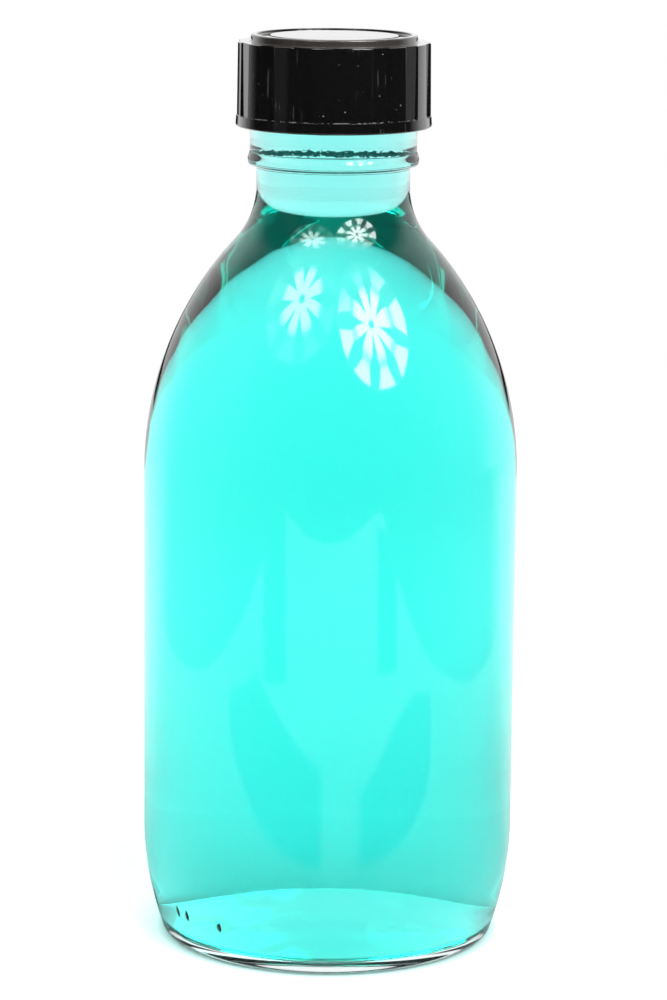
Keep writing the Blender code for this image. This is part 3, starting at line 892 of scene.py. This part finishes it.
def board_material():
    """Grey pulp board with short fibres pressed flat."""
    material, tree, shader = new_material("liner_pulp")
    place = object_place(tree)
    fibres = noise(tree, stretched(tree, place, (1.0, FIBRE_STRETCH, 1.0)), FIBRE_WIDTH, 3.0)
    crossing = noise(tree, stretched(tree, place, (FIBRE_STRETCH, 1.0, 1.0)), FIBRE_WIDTH, 3.0)
    fibres = maths(tree, "MAXIMUM", fibres, crossing)
    between, fibre, cloud = PULP_COLOURS
    colour = tinted(tree, eased(tree, fibres, *FIBRE_SHARE), between, fibre)
    clouds = maths(tree, "MULTIPLY", noise(tree, place, PULP_CLOUD, 2.0), PULP_CLOUD_STRENGTH)
    colour = tinted(tree, clouds, colour, cloud)
    tree.links.new(colour, shader.inputs["Base Color"])
    tree.links.new(mixed(tree, fibres, *PULP_ROUGHNESS), shader.inputs["Roughness"])
    emboss(tree, shader, maths(tree, "MULTIPLY", fibres, FIBRE_HEIGHT))
    return material


def film_material():
    """Pale film, pressed in where the bottle's lip meets it."""
    material, tree, shader = new_material("liner_coating")
    place = object_place(tree)
    radius = from_axis(tree, split(tree, place))
    off = maths(tree, "ABSOLUTE", maths(tree, "SUBTRACT", radius, BORE_RADIUS + FINISH_WALL / 2))
    pressed = eased(tree, off, *FILM_PRESSED_HALF)
    ripples = noise(tree, place, FILM_RIPPLE, 2.0)
    colour = tinted(tree, maths(tree, "MULTIPLY", pressed, 0.5), FILM_COLOUR, FILM_PRESSED_COLOUR)
    tree.links.new(colour, shader.inputs["Base Color"])
    tree.links.new(mixed(tree, ripples, *FILM_ROUGHNESS), shader.inputs["Roughness"])
    height = maths(tree, "MULTIPLY", ripples, FILM_RIPPLE_HEIGHT)
    emboss(tree, shader, maths(tree, "MULTIPLY_ADD", pressed, FILM_PRESSED_DEPTH, height))
    return material


def feed(tree, value, socket):
    """Sets a socket to a plain value, or links it to another node's output."""
    if isinstance(value, bpy.types.NodeSocket):
        tree.links.new(value, socket)
    else:
        socket.default_value = value


def maths(tree, operation, *values):
    """One operation on up to three values."""
    node = tree.nodes.new("ShaderNodeMath")
    node.operation = operation
    for value, socket in zip(values, node.inputs):
        feed(tree, value, socket)
    return node.outputs[0]


def eased(tree, value, low, high):
    """A smooth step from 0 at low to 1 at high, held beyond both. It may run downwards."""
    node = tree.nodes.new("ShaderNodeMapRange")
    node.interpolation_type = "SMOOTHSTEP"
    feed(tree, value, node.inputs["Value"])
    node.inputs["From Min"].default_value = low
    node.inputs["From Max"].default_value = high
    return node.outputs["Result"]


def mixed(tree, share, low, high):
    """Mixes two values."""
    node = tree.nodes.new("ShaderNodeMix")
    for value, socket_name in ((share, "Factor"), (low, "A"), (high, "B")):
        feed(tree, value, node.inputs[socket_name])
    return node.outputs["Result"]


def tinted(tree, share, low, high):
    """Mixes two colours."""
    node = tree.nodes.new("ShaderNodeMix")
    node.data_type = "RGBA"
    for value, index in ((share, 0), (low, 6), (high, 7)):
        feed(tree, value, node.inputs[index])
    return node.outputs[2]


def band(tree, value, rise, fall):
    """1 between two values, easing in over the first pair and out over the second."""
    return maths(tree, "SUBTRACT", eased(tree, value, *rise), eased(tree, value, *fall))


def split(tree, vector):
    """A position's three parts."""
    node = tree.nodes.new("ShaderNodeSeparateXYZ")
    tree.links.new(vector, node.inputs[0])
    return node.outputs


def length(tree, vector):
    """A position's distance from zero."""
    node = tree.nodes.new("ShaderNodeVectorMath")
    node.operation = "LENGTH"
    tree.links.new(vector, node.inputs[0])
    return node.outputs["Value"]


def object_place(tree):
    """Position in the piece's own frame, so that the pattern moves with the piece."""
    return tree.nodes.new("ShaderNodeTexCoord").outputs["Object"]


def stretched(tree, place, factors):
    """Multiplies a position's three parts."""
    node = tree.nodes.new("ShaderNodeVectorMath")
    node.operation = "MULTIPLY"
    tree.links.new(place, node.inputs[0])
    node.inputs[1].default_value = factors
    return node.outputs[0]


def from_axis(tree, axes):
    """Distance from the bottle's axis."""
    across = maths(tree, "MULTIPLY", axes["X"], axes["X"])
    return maths(tree, "SQRT", maths(tree, "MULTIPLY_ADD", axes["Y"], axes["Y"], across))


def noise(tree, place, size, detail):
    """Soft noise whose patches are about as large as the size in metres."""
    node = tree.nodes.new("ShaderNodeTexNoise")
    tree.links.new(place, node.inputs["Vector"])
    node.inputs["Scale"].default_value = 1.0 / size
    node.inputs["Detail"].default_value = detail
    return node.outputs[0]


def specks(tree, place, spacing, radius, share):
    """Small round dots, in a share of the cells of a random pattern."""
    node = tree.nodes.new("ShaderNodeTexVoronoi")
    tree.links.new(place, node.inputs["Vector"])
    node.inputs["Scale"].default_value = 1.0 / spacing
    dot = eased(tree, node.outputs["Distance"], 1.4 * radius / spacing, 0.6 * radius / spacing)
    chosen = maths(tree, "LESS_THAN", split(tree, node.outputs["Color"])["X"], share)
    return maths(tree, "MULTIPLY", dot, chosen)


def emboss(tree, shader, height):
    """Bumps a surface by a height in metres."""
    node = tree.nodes.new("ShaderNodeBump")
    node.inputs["Strength"].default_value = 1.0
    node.inputs["Distance"].default_value = 1.0
    tree.links.new(height, node.inputs["Height"])
    tree.links.new(node.outputs["Normal"], shader.inputs["Normal"])


def inside_shape(tree, place, corners):
    """1 inside a flat shape with straight sides that bulge nowhere inwards, 0 outside it."""
    points = [Vector(corner) / 1000 for corner in corners]
    centre = sum(points, Vector((0.0, 0.0))) / len(points)
    furthest = None
    for start, end in zip(points, points[1:] + points[:1]):
        out = Vector(((end - start).y, -(end - start).x)).normalized()
        if out.dot(start - centre) < 0:
            out = -out
        across = tree.nodes.new("ShaderNodeVectorMath")
        across.operation = "DOT_PRODUCT"
        tree.links.new(place, across.inputs[0])
        across.inputs[1].default_value = (out.x, out.y, 0.0)
        distance = maths(tree, "SUBTRACT", across.outputs["Value"], out.dot(start))
        furthest = distance if furthest is None else maths(tree, "MAXIMUM", furthest, distance)
    return maths(tree, "SUBTRACT", 1.0, eased(tree, furthest, -SHAPE_EDGE, SHAPE_EDGE))


def make_floor():
    """Pale paper that keeps the bottle's shadow, with painted shade under it, a painted glow round
    its base and painted light close to it. Only gloss sees the painted reflection in front of it.
    """
    mesh = bpy.data.meshes.new("studio_floor")
    radius, height = STAGE_RADIUS, -FLOOR_DROP
    rim = [(radius * math.cos(a), radius * math.sin(a), height) for a in even_turn(FLOOR_SIDES)]
    mesh.from_pydata(rim, [], [tuple(range(FLOOR_SIDES))])
    floor = bpy.data.objects.new("studio_floor", mesh)
    bpy.context.scene.collection.objects.link(floor)
    material, tree, shader = new_material("studio_paper")
    shader.inputs["Roughness"].default_value = 1.0
    shader.inputs["Specular IOR Level"].default_value = 0.0
    path = tree.nodes.new("ShaderNodeLightPath").outputs
    place = tree.nodes.new("ShaderNodeNewGeometry").outputs["Position"]
    axes = split(tree, place)
    reach = length(tree, place)
    # Painted shade: the paper is a deeper grey and its own light dimmer inside the footprint
    outside_painted_shade = eased(tree, reach, *FOOTPRINT)
    far = eased(tree, reach, *STAGE_FADE)
    front = maths(tree, "MULTIPLY", axes["Y"], -1.0)
    turn = maths(tree, "ABSOLUTE", maths(tree, "ARCTAN2", axes["X"], front))
    behind = eased(tree, turn, *SWEEP_FLOOR)
    # Painted reflection: the sheet with its dark shapes, and the floor behind the bottle, bright
    # only in gloss; elsewhere gloss sees the paper dim
    painted_reflection_mask = inside_shape(tree, place, PAINTED_REFLECTION_SHEET)
    for corners in PAINTED_REFLECTION_DARK_SHAPES:
        outside = maths(tree, "SUBTRACT", 1.0, inside_shape(tree, place, corners))
        painted_reflection_mask = maths(tree, "MULTIPLY", painted_reflection_mask, outside)
    painted_reflection_mask = maths(tree, "MAXIMUM", maths(tree, "MULTIPLY", painted_reflection_mask, PAINTED_REFLECTION_SHEET_SHARE), behind)
    not_through = maths(tree, "SUBTRACT", 1.0, path["Is Transmission Ray"])
    mirrored = maths(tree, "MULTIPLY", path["Is Glossy Ray"], not_through)
    grey = mixed(tree, outside_painted_shade, FOOTPRINT_PAINTED_SHADE_COLOUR, PAPER_COLOUR)
    grey = mixed(tree, far, grey, 0.0)
    painted_reflection_grey = mixed(tree, painted_reflection_mask, PAINTED_REFLECTION_DARK, 1.0)
    grey = maths(tree, "MULTIPLY", grey, mixed(tree, mirrored, 1.0, painted_reflection_grey))
    # Painted glow: the paper and its own light tinted turquoise round the base, for light through
    # the liquid
    glow = tinted(tree, eased(tree, reach, *PAINTED_GLOW_REACH), PAINTED_GLOW_COLOUR, WHITE)
    tree.links.new(glow, shader.inputs["Emission Color"])
    tree.links.new(tinted(tree, grey, BLACK, glow), shader.inputs["Base Color"])
    seen = maths(tree, "MAXIMUM", path["Is Camera Ray"], path["Is Transmission Ray"])
    seen = maths(tree, "MAXIMUM", seen, maths(tree, "MULTIPLY", mirrored, behind))
    lift = mixed(tree, eased(tree, reach, *PAPER_LIFT_REACH), *PAPER_LIFT)
    # Painted light: the paper's own light raised close to the base, over its contact shadow
    lift = mixed(tree, eased(tree, reach, *PAPER_PAINTED_LIGHT_CLOSE_REACH), PAPER_PAINTED_LIGHT_CLOSE, lift)
    lift = mixed(tree, path["Is Camera Ray"], lift, PAPER_LIFT_SEEN)
    lift = maths(tree, "MULTIPLY", mixed(tree, outside_painted_shade, FOOTPRINT_PAINTED_SHADE_LIFT, 1.0), lift)
    lift = mixed(tree, far, lift, 1.0)
    tree.links.new(maths(tree, "MULTIPLY", seen, lift), shader.inputs["Emission Strength"])
    floor.data.materials.append(material)


def make_world():
    """White wherever the camera looks.

    Glass sees a white sweep below a dark ceiling, and the gloss also a dark room in front.
    """
    world = bpy.data.worlds.new("studio")
    bpy.context.scene.world = world
    world.use_nodes = True
    tree = world.node_tree
    path = tree.nodes.new("ShaderNodeLightPath").outputs
    axes = split(tree, tree.nodes.new("ShaderNodeTexCoord").outputs["Generated"])
    below = maths(tree, "SUBTRACT", 1.0, eased(tree, axes["Z"], *SWEEP_TOP))
    sweep = mixed(tree, below, DARK_ROOM, 1.0)
    front = maths(tree, "MULTIPLY", axes["Y"], -1.0)
    turn = maths(tree, "ARCTAN2", axes["X"], front)
    right = eased(tree, turn, *SWEEP_RIGHT)
    left = eased(tree, maths(tree, "MULTIPLY", turn, -1.0), *SWEEP_LEFT)
    aside = maths(tree, "ABSOLUTE", maths(tree, "SUBTRACT", turn, SIDE_GLOW))
    glow = maths(tree, "SUBTRACT", 1.0, eased(tree, aside, *SIDE_GLOW_WIDTH))
    glow = maths(tree, "MULTIPLY", glow, SIDE_GLOW_STRENGTH)
    around = maths(tree, "MAXIMUM", maths(tree, "MAXIMUM", right, left), glow)
    edge = eased(tree, maths(tree, "ABSOLUTE", turn), *EDGE_DARK)
    edge = maths(tree, "MULTIPLY", edge, band(tree, axes["Z"], *EDGE_DARK_HEIGHTS))
    around = maths(tree, "MULTIPLY", around, maths(tree, "SUBTRACT", 1.0, edge))
    gloss = mixed(tree, maths(tree, "MULTIPLY", below, around), DARK_ROOM, 1.0)
    strength = mixed(tree, path["Is Glossy Ray"], AMBIENT, gloss)
    strength = mixed(tree, path["Is Transmission Ray"], strength, sweep)
    strength = mixed(tree, path["Is Camera Ray"], strength, 1.0)
    background = tree.nodes["Background"]
    background.inputs["Color"].default_value = WHITE
    tree.links.new(strength, background.inputs["Strength"])


def make_umbrella(name, angles, power, rim_share):
    """A round lamp lit like the inside of an umbrella, by a lamp at its middle.

    Round the dark middle is a star of rays. The rim catches more light low down than high up.
    """
    data = bpy.data.lights.new(name, "AREA")
    data.shape = "DISK"
    data.size = UMBRELLA_SIZE
    data.energy = power
    data.use_nodes = True
    tree = data.node_tree
    face = tree.nodes.new("ShaderNodeNewGeometry").outputs["Parametric"]
    axes = split(tree, face)
    across = maths(tree, "MULTIPLY_ADD", axes["X"], 2.0, -1.0)
    up = maths(tree, "MULTIPLY_ADD", axes["Y"], 2.0, -1.0)
    out = from_axis(tree, {"X": across, "Y": up})
    turn = maths(tree, "ARCTAN2", up, across)
    wave = maths(tree, "COSINE", maths(tree, "MULTIPLY", turn, float(UMBRELLA_RIBS)))
    ray = maths(tree, "MULTIPLY_ADD", out, -UMBRELLA_RAYS_NARROWING, wave)
    ray = eased(tree, ray, *UMBRELLA_RAYS_EDGE)
    rays = maths(tree, "MULTIPLY", band(tree, out, *UMBRELLA_RAYS_REACH), ray)
    patch = maths(tree, "MULTIPLY_ADD", out, UMBRELLA_RIM_WIDENING, wave)
    patch = eased(tree, patch, *UMBRELLA_RIM_EDGE)
    rim = maths(tree, "MULTIPLY", band(tree, out, *UMBRELLA_RIM_REACH), patch)
    rim = maths(tree, "MULTIPLY", rim, eased(tree, up, *UMBRELLA_RIM_HEIGHTS))
    glow = maths(tree, "MULTIPLY_ADD", rays, UMBRELLA_RAYS, UMBRELLA_CLOTH)
    glow = maths(tree, "MULTIPLY_ADD", rim, UMBRELLA_RIM * rim_share, glow)
    tree.links.new(glow, tree.nodes["Emission"].inputs["Strength"])
    lamp = bpy.data.objects.new(name, data)
    bpy.context.scene.collection.objects.link(lamp)
    azimuth, elevation = angles
    flat = math.cos(elevation)
    away = Vector((math.sin(azimuth) * flat, -math.cos(azimuth) * flat, math.sin(elevation)))
    lamp.location = Vector((0.0, 0.0, UMBRELLA_AIM)) + away * UMBRELLA_DISTANCE
    lamp.rotation_euler = away.to_track_quat("Z", "Y").to_euler()
    lamp.visible_camera = False


def make_camera():
    """The camera of the photograph, a little over the bottle and looking down at it."""
    camera_data = bpy.data.cameras.new("camera")
    camera_data.sensor_width = CAMERA_SENSOR
    camera_data.lens = CAMERA_LENS
    camera_data.clip_start, camera_data.clip_end = CAMERA_RANGE
    camera = bpy.data.objects.new("camera", camera_data)
    bpy.context.scene.collection.objects.link(camera)
    place = Matrix.Translation((CAMERA_SIDE, -CAMERA_DISTANCE, CAMERA_HEIGHT))
    pitch = Matrix.Rotation(math.pi / 2 - CAMERA_PITCH, 4, "X")
    camera.matrix_world = place @ pitch @ Matrix.Rotation(CAMERA_ROLL, 4, "Z")
    bpy.context.scene.camera = camera


def set_render():
    """Enough bounces for light to go in and out of the glass and the liquid."""
    scene = bpy.context.scene
    scene.view_settings.view_transform = "Standard"
    scene.cycles.max_bounces = LIGHT_BOUNCES
    scene.cycles.transmission_bounces = LIGHT_BOUNCES
    scene.cycles.glossy_bounces = GLOSSY_BOUNCES


make_glass()
make_syrup()
make_cap()
make_liner()
make_floor()
make_world()
make_umbrella("key_umbrella", KEY_ANGLES, KEY_POWER, KEY_RIM_SHARE)
make_umbrella("fill_umbrella", FILL_ANGLES, FILL_POWER, FILL_RIM_SHARE)
make_camera()
set_render()
